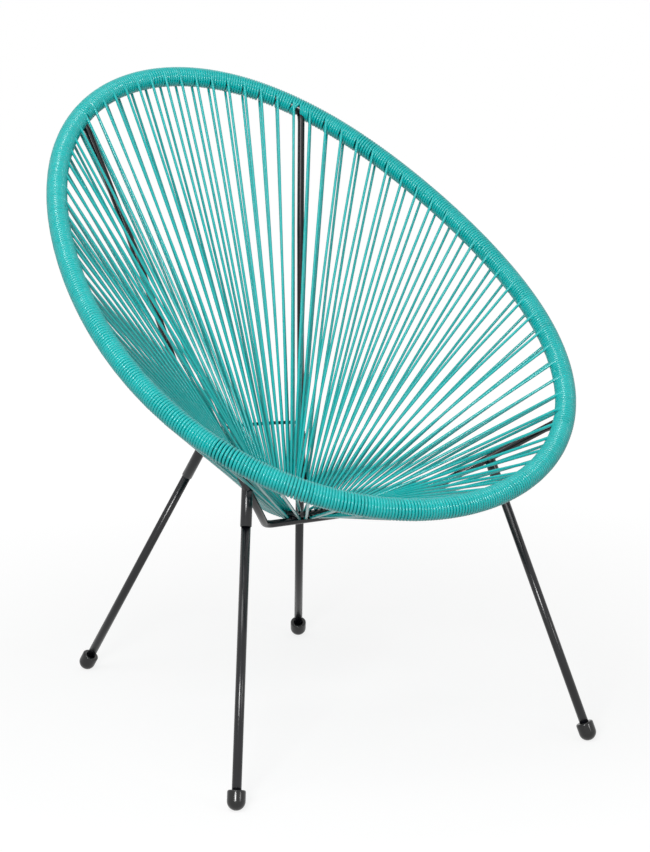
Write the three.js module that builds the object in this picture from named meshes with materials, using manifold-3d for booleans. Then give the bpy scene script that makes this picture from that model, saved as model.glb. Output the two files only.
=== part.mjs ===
// Lounge chair strung with cord: a pear-shaped tubular rim, a small base loop, cords strung
// between the two, four ribs that carry the rim on the base, and four push-in legs.
// Millimetres, +Z up, front of the seat towards -Y, origin on the floor below the middle.
import * as THREE from 'three';
import { mergeVertices } from 'three/addons/utils/BufferGeometryUtils.js';
import Module from 'manifold-3d';

const wasm = await Module();
wasm.setup();

// Rim: centre line of the wound tube.
const rim = {
  meanHalfWidth: 336,
  halfLength: 367,
  topHeight: 837.5,
  frontHeight: 358,
  sideSetback: 33.2,
  sideLift: 14,
  tubeRadius: 10.5,
  wall: 1.2,
  taperShare: -0.165,
  fullnessShare: 0.078,
  lengthRippleShare: 0.015,
  riseRippleShare: 0.029,
};

// Cord and its winding. A station is the place where a pair of strands leaves the rim.
const cord = {
  diameter: 3.2,
  stations: 78,
};

// Rods of the frame.
const rib = {
  radius: 5,
  kneeBend: 30,
  crestBend: 40,
  riseBend: 300,
  elbowBend: 20,
};
const base = {
  height: 289,
  barY: -86.4,
  elbowX: 100,
  hoopRadius: 4,
  hoopHalfWidth: 62,
  hoopWidestY: -75,
  hoopLength: 151.6,
  hoopCorner: 20,
};
const rearKnee = { x: 73.5, y: 127.2, z: 338 };
const rearCrest = { x: 168.1, y: 290.7, z: 773 };
const rearRise = { x: 134.4, y: 233.6, z: 630 };
const crossRod = { radius: 2.5, height: 367, bow: 22 };

// Legs: where each foot stands, and where along its rib the leg points.
const leg = {
  radius: 6,
  wall: 1.5,
  socketRadius: 7.2,
  socketRoof: 2.5,
  frontSocketLength: 47.5,
  rearSocketLength: 54.5,
  lowerEndHeight: 3,
};
const frontFoot = { x: 261.5, y: -304.3 };
const rearFoot = { x: 174.3, y: 313.3 };
const foot = {
  radius: 11.5,
  height: 25,
  edgeRound: 2.5,
  floorCut: 0.5,
};

// Clearance that touching pieces keep.
const gap = 0.3;

// Where the ribs and the front corners of the base hoop fall among the stations.
const rearRibStation = 7.5;
const hoopRibStation = 11.5;
const frontRibStation = 30.5;
const hoopCornerStation = 33.5;
const frontStation = cord.stations / 2;
const sectorEnds = [3.5, rearRibStation, hoopRibStation, 15.5, 19.5, 23.5, 27.5, frontRibStation,
  hoopCornerStation, 36.5];

// How the strands spread along the base hoop, and where along a rib its leg is welded.
const rearPitch = 3.9;
const frontPitch = 8.5;
const frontRunStation = 31.5;
const sideEvennessShare = 0.7;
const frontLegShare = 0.44;

// Counts of faces.
const rimSides = 8;
const baseSides = 6;
const strandSides = 3;
const rodSides = 8;
const turnedSides = 16;
const bendSteps = 4;
const footArcSteps = 4;
const facetTolerance = 0.02;
const widestStretch = 2.5;

const v3 = (x, y, z) => new THREE.Vector3(x, y, z);

// Geometry helpers

function quadStrip(triangles, lower, upper, sides) {
  for (let i = 0; i < sides; i += 1) {
    const j = (i + 1) % sides;
    triangles.push(lower[i], lower[j], upper[j], lower[i], upper[j], upper[i]);
  }
}

function closedGeometry(triangles) {
  const positions = [];
  for (const point of triangles) positions.push(point.x, point.y, point.z);
  const geometry = new THREE.BufferGeometry();
  geometry.setAttribute('position', new THREE.Float32BufferAttribute(positions, 3));
  return mergeVertices(geometry);
}

// Solid bounded by one stack of rings, or a shell between an outer and an inner stack.
function loft(outer, inner = null) {
  const triangles = [];
  const sides = outer[0].length;
  for (let k = 1; k < outer.length; k += 1) quadStrip(triangles, outer[k - 1], outer[k], sides);
  if (inner) {
    for (let k = 1; k < inner.length; k += 1) quadStrip(triangles, inner[k], inner[k - 1], sides);
    quadStrip(triangles, inner[0], outer[0], sides);
    quadStrip(triangles, outer.at(-1), inner.at(-1), sides);
  } else {
    for (let i = 1; i < sides - 1; i += 1) {
      triangles.push(outer[0][0], outer[0][i + 1], outer[0][i]);
      triangles.push(outer.at(-1)[0], outer.at(-1)[i], outer.at(-1)[i + 1]);
    }
  }
  return closedGeometry(triangles);
}

function ring(centre, u, v, radius, sides, phase = 0.5) {
  const points = [];
  for (let i = 0; i < sides; i += 1) {
    const angle = (i + phase) * 2 * Math.PI / sides;
    points.push(centre.clone()
      .addScaledVector(u, radius * Math.cos(angle))
      .addScaledVector(v, radius * Math.sin(angle)));
  }
  return points;
}

// Rings along a list of points, each square to the path, carried along without twist.
function pathRings(points, radius, sides, reference) {
  const rings = [];
  let u = reference.clone();
  points.forEach((point, k) => {
    const before = points[Math.max(k - 1, 0)];
    const after = points[Math.min(k + 1, points.length - 1)];
    const tangent = after.clone().sub(before).normalize();
    u.addScaledVector(tangent, -u.dot(tangent)).normalize();
    const v = tangent.clone().cross(u);
    rings.push(ring(point, u, v, radius, sides));
    u = u.clone();
  });
  return rings;
}

function rod(points, radius, sides = rodSides) {
  const along = points[1].clone().sub(points[0]).normalize();
  const reference = Math.abs(along.x) < Math.abs(along.z) ? v3(1, 0, 0) : v3(0, 0, 1);
  return loft(pathRings(points, radius, sides, reference));
}

// Path with each inner corner rounded to a bend radius.
function bentPath(corners, bends) {
  const points = [corners[0].clone()];
  for (let k = 1; k < corners.length - 1; k += 1) {
    const into = corners[k].clone().sub(corners[k - 1]).normalize();
    const out = corners[k + 1].clone().sub(corners[k]).normalize();
    const turn = Math.acos(into.dot(out));
    const setback = bends[k - 1] * Math.tan(turn / 2);
    const start = corners[k].clone().addScaledVector(into, -setback);
    const inward = out.clone().sub(into).normalize();
    const reach = bends[k - 1] / Math.cos(turn / 2);
    const centre = corners[k].clone().addScaledVector(inward, reach);
    const axis = into.clone().cross(out).normalize();
    for (let i = 0; i <= bendSteps; i += 1) {
      const arm = start.clone().sub(centre).applyAxisAngle(axis, turn * i / bendSteps);
      points.push(centre.clone().add(arm));
    }
  }
  points.push(corners.at(-1).clone());
  return points;
}

function toSolid(geometry) {
  const bare = geometry.clone();
  bare.deleteAttribute('normal');
  bare.deleteAttribute('uv');
  const merged = mergeVertices(bare);
  return new wasm.Manifold(new wasm.Mesh({
    numProp: 3,
    vertProperties: new Float32Array(merged.attributes.position.array),
    triVerts: new Uint32Array(merged.index.array),
  }));
}

function toGeometry(solid) {
  const mesh = solid.getMesh();
  const geometry = new THREE.BufferGeometry();
  geometry.setAttribute('position', new THREE.BufferAttribute(mesh.vertProperties, 3));
  geometry.setIndex(new THREE.BufferAttribute(mesh.triVerts, 1));
  return geometry;
}

// The rings of the rim and the base hoop stand between stations: at the ends of the cord's
// sectors, and in the middle of each sector that spans too much of the bend.
const betweenStations = (from, to) => Math.floor((from + to) / 2) + 0.5;
const sideEnds = [0, ...sectorEnds, frontStation];

function ringStops(isBent) {
  const side = [...sectorEnds];
  for (let i = 1; i < sideEnds.length; i += 1) {
    const [from, to] = [sideEnds[i - 1], sideEnds[i]];
    if (to - from > widestStretch && isBent(to)) side.push(betweenStations(from, to));
  }
  const turn = [0, frontStation, ...side, ...side.map((k) => cord.stations - k)];
  return [...turn.map((k) => k - cord.stations), ...turn].sort((a, b) => a - b);
}

const rimStops = ringStops(() => true);
const loopStops = ringStops((end) => end === sectorEnds[0])
  .filter((k) => Math.abs(k) !== frontStation);

const stopsWithin = (stops, start, end) => [
  start,
  ...stops.filter((k) => k > start && k < end),
  end,
];

// The straight stretch between two rings on which a station lies.
function stretchOf(stops, station) {
  const after = stops.findIndex((k) => k > station);
  const [from, to] = [stops[after - 1], stops[after]];
  return { from, to, part: (station - from) / (to - from) };
}

function onStretch(stops, pointAt, station) {
  const { from, to, part } = stretchOf(stops, station);
  const start = pointAt(from);
  const end = pointAt(to);
  return { point: start.clone().lerp(end, part), tangent: end.clone().sub(start).normalize() };
}

// Section of the tube at a station: a ring of its own, or one taken across a stretch.
function sectionAt(stops, ringAt, station) {
  if (stops.includes(station)) return ringAt(station);
  const { from, to, part } = stretchOf(stops, station);
  const next = ringAt(to);
  return ringAt(from).map((point, i) => point.lerp(next[i], part));
}

// The left side mirrors the right side.
function mirrorOf(geometry) {
  const mirror = geometry.index ? geometry.clone() : mergeVertices(geometry);
  mirror.scale(-1, 1, 1);
  const corners = Array.from(mirror.index.array);
  for (let i = 0; i < corners.length; i += 3) {
    [corners[i], corners[i + 1]] = [corners[i + 1], corners[i]];
  }
  mirror.setIndex(corners);
  return mirror;
}

// Rim centre line: station 0 is at the top, the middle station at the front.

const stationAngle = (station) => station * 2 * Math.PI / cord.stations;

function rimPoint(station) {
  const t = stationAngle(station);
  const middle = (rim.topHeight + rim.frontHeight) / 2;
  const rise = (rim.topHeight - rim.frontHeight) / 2;
  const side = (1 - Math.cos(2 * t)) / 2;
  const ripple = (share) => (1 - share) * Math.cos(t) + share * Math.cos(3 * t);
  const width = 1 + rim.taperShare * Math.cos(t) + rim.fullnessShare * Math.cos(2 * t);
  return v3(
    rim.meanHalfWidth * Math.sin(t) * width,
    rim.halfLength * ripple(rim.lengthRippleShare) + rim.sideSetback * side,
    middle + rise * ripple(rim.riseRippleShare) + rim.sideLift * side,
  );
}

function tangentOf(pointAt, station) {
  const step = 0.01;
  return pointAt(station + step).sub(pointAt(station - step)).normalize();
}

// Direction across a tangent that points most nearly at a target.
function facing(centre, target, tangent) {
  const u = target.clone().sub(centre);
  return u.addScaledVector(tangent, -u.dot(tangent)).normalize();
}

// The rim's section has a corner towards the base loop.
function rimRing(station, radius) {
  const centre = rimPoint(station);
  const tangent = tangentOf(rimPoint, station);
  const u = facing(centre, basePlace(station).point, tangent);
  const v = tangent.clone().cross(u);
  return ring(centre, u, v, radius, rimSides, 0);
}

// Base hoop: half a long oval behind, closed in front by two round corners and a straight. It
// rests on the bar and slopes down a little towards the rear.

const lengthSamples = 200;
const oval = (turn) => v3(
  base.hoopHalfWidth * Math.sin(turn),
  base.hoopWidestY + base.hoopLength * Math.cos(turn),
  0,
);
const ovalLengths = [0];
for (let i = 1; i <= lengthSamples; i += 1) {
  const before = oval((i - 1) / lengthSamples * Math.PI / 2);
  const after = oval(i / lengthSamples * Math.PI / 2);
  ovalLengths.push(ovalLengths[i - 1] + after.distanceTo(before));
}
const ovalQuarter = ovalLengths.at(-1);
const cornerLength = base.hoopCorner * Math.PI / 2;
const straightHalf = base.hoopHalfWidth - base.hoopCorner;
const hoopHalfLength = ovalQuarter + cornerLength + straightHalf;

function ovalTurn(length) {
  let i = 1;
  while (i < lengthSamples && ovalLengths[i] < length) i += 1;
  const part = (length - ovalLengths[i - 1]) / (ovalLengths[i] - ovalLengths[i - 1]);
  return (i - 1 + part) / lengthSamples * Math.PI / 2;
}

const hoopRearY = base.hoopWidestY + base.hoopLength;
const hoopSlope = (base.hoopRadius + rib.radius + gap) / (hoopRearY - base.barY);

// Point of the hoop's right half at a length from its rear end.
function hoopPoint(length) {
  let point = oval(ovalTurn(length));
  if (length > ovalQuarter + cornerLength) {
    point = v3(hoopHalfLength - length, base.hoopWidestY - base.hoopCorner, 0);
  } else if (length > ovalQuarter) {
    const turn = (length - ovalQuarter) / base.hoopCorner;
    const inward = base.hoopCorner * (1 - Math.cos(turn));
    point = v3(
      base.hoopHalfWidth - inward,
      base.hoopWidestY - base.hoopCorner * Math.sin(turn),
      0,
    );
  }
  point.z = base.height + (hoopRearY - point.y) * hoopSlope;
  return point;
}

function hoopTangent(length) {
  const step = 0.5;
  return hoopPoint(length + step).sub(hoopPoint(Math.max(length - step, 0))).normalize();
}

// Length from the hoop's rear end at which a station's strands pass round it.
function hoopReach(k) {
  const rearEnd = rearPitch * hoopRibStation;
  if (k <= hoopRibStation) return rearPitch * k;
  const frontEnd = hoopHalfLength - frontPitch * (frontStation - frontRunStation);
  if (k >= frontRunStation) return hoopHalfLength - frontPitch * (frontStation - k);
  const part = (k - hoopRibStation) / (frontRunStation - hoopRibStation);
  const spread = sideEvennessShare * part + (1 - sideEvennessShare) * part * part;
  return THREE.MathUtils.lerp(rearEnd, frontEnd, spread);
}

const cordLayer = cord.diameter + gap;

const folded = (station) => (station > frontStation ? station - cord.stations : station);

// Place of a station on the base hoop, and the direction of rising stations there.
function basePlace(station) {
  const k = Math.abs(folded(station));
  const place = {
    point: hoopPoint(hoopReach(k)),
    tangent: hoopTangent(hoopReach(k)),
    faced: rimPoint(k),
  };
  if (k === 0 || k === frontStation) {
    place.tangent = v3(k === 0 ? 1 : -1, 0, 0);
  }
  return folded(station) < 0 ? mirroredPlace(place) : place;
}

function mirroredPlace({ point, tangent, faced }) {
  return {
    point: v3(-point.x, point.y, point.z),
    tangent: v3(tangent.x, -tangent.y, -tangent.z),
    faced: v3(-faced.x, faced.y, faced.z),
  };
}

// The hoop's section has a flat towards the rim.
function baseRing(place, radius) {
  const u = facing(place.point, place.faced, place.tangent);
  const v = place.tangent.clone().cross(u);
  return ring(place.point, u, v, radius, baseSides);
}

// Frame pieces

// The tube is butt-jointed at the front, where its ends keep a hairline gap.
function rimStack(radius, ends) {
  const pitch = rimPoint(frontStation).distanceTo(rimPoint(frontStation - 1));
  const trim = ends / 2 / pitch;
  return stopsWithin(rimStops, trim - frontStation, frontStation - trim)
    .map((k) => rimRing(k, radius));
}

const rimTube = loft(rimStack(rim.tubeRadius, gap), rimStack(rim.tubeRadius - rim.wall, gap));
const rimEnvelope = toSolid(loft(rimStack(rim.tubeRadius + gap, gap)));

const mirrored = (point, side) => v3(side * point.x, point.y, point.z);

function frontRibPath(side) {
  const top = rimPoint(frontRibStation);
  const elbow = v3(base.elbowX, base.barY, base.height);
  const stub = rib.elbowBend * 2;
  const end = v3(base.elbowX - stub, base.barY, base.height);
  return bentPath([top, elbow, end].map((point) => mirrored(point, side)), [rib.elbowBend]);
}

const barHalfLength = base.elbowX - rib.elbowBend * 2 - gap;

const hoopRibPoint = hoopPoint(hoopReach(hoopRibStation));
const hoopRibTangent = hoopTangent(hoopReach(hoopRibStation));

// The rear rib lies on the hoop, square to both.
function overHoop(knee) {
  const touching = base.hoopRadius + rib.radius + gap;
  let over = hoopRibPoint;
  for (const pass of ['level', 'sloped', 'settled']) {
    const run = over.clone().sub(knee).normalize();
    const normal = hoopRibTangent.clone().cross(run).normalize();
    over = hoopRibPoint.clone();
    over.z += pass === 'level' ? touching : touching / Math.abs(normal.z);
  }
  return over;
}

function rearRibPath(side) {
  const top = rimPoint(rearRibStation);
  const crest = v3(rearCrest.x, rearCrest.y, rearCrest.z);
  const rise = v3(rearRise.x, rearRise.y, rearRise.z);
  const knee = v3(rearKnee.x, rearKnee.y, rearKnee.z);
  const over = overHoop(knee);
  const run = over.clone().sub(knee).normalize();
  const end = over.clone().addScaledVector(run, base.hoopRadius);
  const corners = [top, crest, rise, knee, end].map((point) => mirrored(point, side));
  return bentPath(corners, [rib.crestBend, rib.riseBend, rib.kneeBend]);
}

// The hoop is butt-jointed at the front, where its ends keep a hairline gap.
function hoopStack(radius) {
  const trim = gap / 2 / frontPitch;
  return stopsWithin(loopStops, trim - frontStation, frontStation - trim)
    .map((k) => baseRing(basePlace(k), radius));
}

const frontRibDirection = frontRibPath(1)[1].clone().sub(frontRibPath(1)[0]).normalize();
const rearRibDirection = rearRibPath(1)[1].clone().sub(rearRibPath(1)[0]).normalize();

const ribShapes = (grow) => [
  ...[-1, 1].map((side) => rod(frontRibPath(side), rib.radius + grow)),
  ...[-1, 1].map((side) => rod(rearRibPath(side), rib.radius + grow)),
];

const [frontRibLeft, frontRibRight, rearRibLeft, rearRibRight] = ribShapes(0)
  .map((shape) => toGeometry(toSolid(shape).subtract(rimEnvelope)));
const barShape = (grow) => rod(
  [v3(-barHalfLength, base.barY, base.height), v3(barHalfLength, base.barY, base.height)],
  rib.radius + grow,
);
const baseBar = barShape(0);
const baseHoop = loft(hoopStack(base.hoopRadius));

function crossRodPath() {
  const share = (crossRod.height - rearKnee.z) / (rearRise.z - rearKnee.z);
  const x = THREE.MathUtils.lerp(rearKnee.x, rearRise.x, share);
  const y = THREE.MathUtils.lerp(rearKnee.y, rearRise.y, share);
  const points = [];
  const steps = bendSteps * 2;
  for (let i = 0; i <= steps; i += 1) {
    const part = i / steps * 2 - 1;
    points.push(v3(x * part, y + crossRod.bow * (1 - part * part), crossRod.height));
  }
  return points;
}

let crossRodBody = toSolid(rod(crossRodPath(), crossRod.radius, baseSides));
for (const shape of ribShapes(gap)) crossRodBody = crossRodBody.subtract(toSolid(shape));
const rearCrossRod = toGeometry(crossRodBody);

// Legs: each stands on its foot and points at its rib.

function legLayout(footPlace, target, socketLength, side) {
  const ground = v3(side * footPlace.x, footPlace.y, foot.radius - foot.floorCut);
  const top = mirrored(target, side);
  const up = top.clone().sub(ground).normalize();
  return { ground, top, up, socketLength };
}

const frontTarget = rimPoint(frontRibStation)
  .lerp(v3(base.elbowX, base.barY, base.height), frontLegShare);
const rearTarget = v3(rearKnee.x, rearKnee.y, rearKnee.z)
  .addScaledVector(
    v3(rearRise.x - rearKnee.x, rearRise.y - rearKnee.y, rearRise.z - rearKnee.z).normalize(),
    rib.kneeBend / 2,
  );
const legs = {
  front_left: legLayout(frontFoot, frontTarget, leg.frontSocketLength, -1),
  front_right: legLayout(frontFoot, frontTarget, leg.frontSocketLength, 1),
  rear_left: legLayout(rearFoot, rearTarget, leg.rearSocketLength, -1),
  rear_right: legLayout(rearFoot, rearTarget, leg.rearSocketLength, 1),
};

// Solid of revolution placed on the leg's axis, its local +Z pointing up the leg.
function onLeg(profile, layout, origin) {
  const points = profile.map(([radius, along]) => new THREE.Vector2(radius, along));
  const shape = new THREE.LatheGeometry(points, turnedSides);
  shape.rotateX(Math.PI / 2);
  const turn = new THREE.Quaternion().setFromUnitVectors(v3(0, 0, 1), layout.up);
  shape.applyQuaternion(turn);
  shape.translate(origin.x, origin.y, origin.z);
  return shape;
}

function socket(layout, ribShape) {
  const bore = leg.radius + gap;
  const roof = -rib.radius - leg.socketRoof;
  const bottom = -layout.socketLength;
  const profile = [[0, roof - leg.socketRoof], [bore, roof - leg.socketRoof], [bore, bottom],
    [leg.socketRadius, bottom], [leg.socketRadius, 0], [0, 0]];
  const body = toSolid(onLeg(profile, layout, layout.top));
  const parts = body.subtract(toSolid(ribShape)).decompose();
  parts.sort((a, b) => b.volume() - a.volume());
  return toGeometry(parts[0]);
}

function legTube(layout) {
  const roof = rib.radius + leg.socketRoof * 2 + gap;
  const length = layout.top.distanceTo(layout.ground) - roof;
  const inner = leg.radius - leg.wall;
  const start = leg.lowerEndHeight;
  const profile = [[leg.radius, start], [leg.radius, length], [inner, length], [inner, start],
    [leg.radius, start]];
  return onLeg(profile, layout, layout.ground);
}

function footCap(layout) {
  const bore = leg.radius + gap;
  const seat = leg.lowerEndHeight - gap;
  const top = foot.height - foot.radius;
  const profile = [[0, -foot.radius]];
  for (let i = 1; i <= footArcSteps; i += 1) {
    const angle = i / footArcSteps * Math.PI / 2;
    profile.push([foot.radius * Math.sin(angle), -foot.radius * Math.cos(angle)]);
  }
  profile.push([foot.radius, top - foot.edgeRound], [foot.radius - foot.edgeRound, top],
    [bore, top], [bore, seat], [0, seat]);
  return toSolid(onLeg(profile, layout, layout.ground));
}

// The underside of each foot is worn flat where it stands on the floor.
function flatFoot(layout) {
  const slab = new THREE.BoxGeometry(foot.radius * 4, foot.radius * 4, foot.radius);
  slab.translate(layout.ground.x, layout.ground.y, -foot.radius / 2);
  return toGeometry(footCap(layout).subtract(toSolid(slab)));
}

// Cord sectors

const wrapRadius = rim.tubeRadius + cordLayer;

function trimmed(pointAt, from, to, slots) {
  const step = 0.5;
  const pitchFrom = pointAt(from + step).distanceTo(pointAt(from)) / step;
  const pitchTo = pointAt(to - step).distanceTo(pointAt(to)) / step;
  return [from + slots[0] / pitchFrom, to - slots[1] / pitchTo];
}

// Half the width of the gap that the cord leaves at a sector's end: a rib passes through some.
function endSlot(station) {
  const k = Math.abs(folded(station));
  let ribDirection = null;
  if (k === rearRibStation) ribDirection = rearRibDirection;
  if (k === frontRibStation) ribDirection = frontRibDirection;
  if (!ribDirection) return gap / 2;
  const sine = ribDirection.clone().cross(tangentOf(rimPoint, k)).length();
  return (rib.radius + gap) / sine;
}

// Turns round the rim.
function rimWrap(from, to) {
  const [start, end] = trimmed(rimPoint, from, to, [endSlot(from), endSlot(to)]);
  const stack = (radius) => stopsWithin(rimStops, start, end)
    .map((k) => sectionAt(rimStops, (stop) => rimRing(stop, radius), k));
  return loft(stack(wrapRadius), stack(rim.tubeRadius + gap));
}

// Turns round the base hoop under the sector's strands.
function baseWrap(from, to) {
  const pointAt = (station) => basePlace(station).point;
  const [start, end] = trimmed(pointAt, from, to, [gap / 2, gap / 2]);
  const stack = (radius) => stopsWithin(loopStops, start, end)
    .map((k) => sectionAt(loopStops, (stop) => baseRing(basePlace(stop), radius), k));
  return loft(stack(base.hoopRadius + cordLayer), stack(base.hoopRadius + gap));
}

// A strand starts in the middle of the winding's wall.
const strandRadius = cord.diameter / 2;
const wallMiddle = gap + cord.diameter / 2 - strandRadius / 5;

// A strand runs straight between the outermost turns of the two windings. Its section is a
// triangle with one flat side towards the tube that it leaves.
function strandRing(point, along, inward) {
  const v = along.clone().cross(inward).normalize();
  return ring(point, inward, v, strandRadius, strandSides);
}

// Nearest points of two straight stretches.
function nearest(a, b, c, d) {
  const along = b.clone().sub(a);
  const across = d.clone().sub(c);
  const between = c.clone().sub(a);
  const mixed = along.dot(across);
  const span = along.lengthSq() * across.lengthSq() - mixed * mixed;
  const part = (between.dot(along) * across.lengthSq() - between.dot(across) * mixed) / span;
  const onFirst = a.clone().addScaledVector(along, THREE.MathUtils.clamp(part, 0, 1));
  const reach = onFirst.clone().sub(c).dot(across) / across.lengthSq();
  const onSecond = c.clone().addScaledVector(across, THREE.MathUtils.clamp(reach, 0, 1));
  return [onFirst, onSecond];
}

// A strand that would run into a rib bends round it, but not beside the hoop.
const lastBend = 0.93;
function roundRibs(start, end) {
  const clearance = rib.radius + gap + strandRadius;
  let bend = null;
  let least = clearance;
  for (const path of ribPaths) {
    for (let i = 1; i < path.length; i += 1) {
      const [onStrand, onRib] = nearest(start, end, path[i - 1], path[i]);
      const apart = onStrand.distanceTo(onRib);
      const part = onStrand.distanceTo(start) / end.distanceTo(start);
      if (apart < least && part < lastBend) {
        least = apart;
        const away = onStrand.clone().sub(onRib).normalize();
        bend = onRib.clone().addScaledVector(away, clearance);
      }
    }
  }
  return bend;
}

function strand(station, face) {
  const rimPart = onStretch(rimStops, rimPoint, station);
  const basePart = onStretch(loopStops, (k) => basePlace(k).point, station);
  const along = basePart.point.clone().sub(rimPart.point).normalize();
  const rimSide = along.clone().cross(rimPart.tangent).normalize();
  const baseSide = along.clone().cross(basePart.tangent).normalize();
  const reachRim = rim.tubeRadius + wallMiddle;
  const reachBase = base.hoopRadius + wallMiddle;
  const start = rimPart.point.clone().addScaledVector(rimSide, face * reachRim);
  const slant = along.dot(basePart.tangent);
  const halfCrossing = reachBase / 2;
  const drift = halfCrossing * slant / Math.sqrt(1 - slant * slant);
  const end = basePart.point.clone()
    .addScaledVector(baseSide, face * reachBase)
    .addScaledVector(basePart.tangent, drift);
  const direction = end.clone().sub(start).normalize();
  const inwardRim = rimSide.multiplyScalar(-face);
  const inwardBase = baseSide.multiplyScalar(-face);
  const rings = [strandRing(start, direction, inwardRim)];
  const bend = roundRibs(start, end);
  if (bend) {
    const between = inwardRim.clone().add(inwardBase).normalize();
    rings.push(strandRing(bend, direction, between));
  }
  rings.push(strandRing(end, direction, inwardBase));
  return loft(rings);
}

const ribPaths = [-1, 1].flatMap((side) => [frontRibPath(side), rearRibPath(side)]);
const grownRods = [...ribShapes(gap), barShape(gap)].map(toSolid);
const grownHoop = toSolid(loft(hoopStack(base.hoopRadius + gap / 2)));

function cordSector(from, to) {
  const pieces = [toSolid(rimWrap(from, to)), toSolid(baseWrap(from, to))];
  for (let k = Math.ceil(from); k < to; k += 1) {
    for (const face of [1, -1]) pieces.push(toSolid(strand(k, face)));
  }
  let body = pieces[0];
  for (const piece of pieces.slice(1)) body = body.add(piece);
  for (const keepOut of grownRods) body = body.subtract(keepOut);
  if (to === hoopRibStation || to === hoopCornerStation) body = body.subtract(grownHoop);
  const parts = body.decompose();
  parts.sort((a, b) => b.volume() - a.volume());
  return toGeometry(parts[0].asOriginal().simplify(facetTolerance));
}

// Materials

const finish = (color, roughness, metalness) => ({ color, roughness, metalness });
const steel = finish(0x232126, 0.45, 0.2);
const rubber = finish(0x141416, 0.3, 0);
const pvc = finish(0x16a79c, 0.35, 0);

const chair = new THREE.Group();

function addPiece(name, geometry, look) {
  const mesh = new THREE.Mesh(geometry, new THREE.MeshStandardMaterial(look));
  mesh.name = name;
  chair.add(mesh);
}

addPiece('rim_tube', rimTube, steel);
addPiece('front_rib_left', frontRibLeft, steel);
addPiece('front_rib_right', frontRibRight, steel);
addPiece('rear_rib_left', rearRibLeft, steel);
addPiece('rear_rib_right', rearRibRight, steel);
addPiece('base_bar', baseBar, steel);
addPiece('base_hoop', baseHoop, steel);
addPiece('rear_cross_rod', rearCrossRod, steel);

const [grownFrontLeft, grownFrontRight, grownRearLeft, grownRearRight] = ribShapes(gap);
const ribOfLeg = {
  front_left: grownFrontLeft,
  front_right: grownFrontRight,
  rear_left: grownRearLeft,
  rear_right: grownRearRight,
};
for (const [place, layout] of Object.entries(legs)) {
  addPiece(`leg_socket_${place}`, socket(layout, ribOfLeg[place]), steel);
  addPiece(`leg_${place}`, legTube(layout), steel);
  addPiece(`foot_${place}`, flatFoot(layout), rubber);
}

addPiece('seat_cord_rear', cordSector(-sectorEnds[0], sectorEnds[0]), pvc);
for (let i = 1; i < sectorEnds.length; i += 1) {
  const sector = cordSector(sectorEnds[i - 1], sectorEnds[i]);
  addPiece(`seat_cord_right_${i}`, sector, pvc);
  addPiece(`seat_cord_left_${i}`, mirrorOf(sector), pvc);
}
addPiece('seat_cord_front', cordSector(sectorEnds.at(-1), cord.stations - sectorEnds.at(-1)), pvc);

export default chair;
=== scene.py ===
import math

import bpy
import numpy as np
from mathutils import Matrix, Vector


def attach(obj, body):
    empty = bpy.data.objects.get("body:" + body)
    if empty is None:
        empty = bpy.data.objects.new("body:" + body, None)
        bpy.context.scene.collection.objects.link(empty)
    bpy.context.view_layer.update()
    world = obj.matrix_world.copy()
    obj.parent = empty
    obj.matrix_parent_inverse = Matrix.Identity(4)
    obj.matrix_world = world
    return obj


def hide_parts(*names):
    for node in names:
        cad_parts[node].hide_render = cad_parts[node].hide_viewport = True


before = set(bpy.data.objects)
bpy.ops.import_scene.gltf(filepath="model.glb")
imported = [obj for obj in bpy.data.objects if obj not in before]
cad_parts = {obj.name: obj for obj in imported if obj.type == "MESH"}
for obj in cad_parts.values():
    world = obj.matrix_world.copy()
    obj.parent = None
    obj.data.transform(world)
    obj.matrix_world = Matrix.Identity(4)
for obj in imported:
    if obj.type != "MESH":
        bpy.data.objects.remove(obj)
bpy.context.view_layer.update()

# Camera
# A long lens to the front left of the chair, about 20 cm above the top of the rim. The lens is
# worked out for a picture 852 pixels high, whose height is the sensor's 36 mm.
PICTURE_HEIGHT = 852
FOCAL_PIXELS = 2471
SENSOR_WIDTH = 36
CAMERA_PLACE = (-1.594, -2.8144, 1.053)
CAMERA_RIGHT = (0.86494, -0.50187, 0.0002)
CAMERA_UP = (0.10001, 0.17278, 0.97987)
CAMERA_BACK = (-0.49181, -0.84751, 0.19963)
camera_data = bpy.data.cameras.new("camera")
camera_data.sensor_width = SENSOR_WIDTH
camera_data.lens = FOCAL_PIXELS * SENSOR_WIDTH / PICTURE_HEIGHT
camera = bpy.data.objects.new("camera", camera_data)
bpy.context.collection.objects.link(camera)
turned = Matrix((CAMERA_RIGHT, CAMERA_UP, CAMERA_BACK)).transposed()
camera.matrix_world = Matrix.Translation(CAMERA_PLACE) @ turned.to_4x4()
bpy.context.scene.camera = camera
bpy.context.scene.view_settings.view_transform = "Standard"

# Rim
# A round steel tube, 20 mm thick, bent to a pear-shaped loop that rises from the front of the
# seat to the top of the back. Its ends are butt welded, and the cord hides nearly all of it.
RIM_RADIUS = 10.1
STATIONS = 78
FRONT_STATION = STATIONS / 2
POINTS_PER_STATION = 4
RIM_HALF_WIDTH = 336
PEAR_SHAPE = 0.165
END_FULLNESS = 0.078
RIM_HALF_DEPTH = 367
DEPTH_ROUNDING = 0.015
SIDES_BACK = 33.2
RIM_MIDDLE_HEIGHT = 597.75
RIM_HALF_RISE = 239.75
RISE_ROUNDING = 0.029
SIDES_UP = 14
METRE = 1000


def unit(vector):
    return vector / np.linalg.norm(vector)


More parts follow.
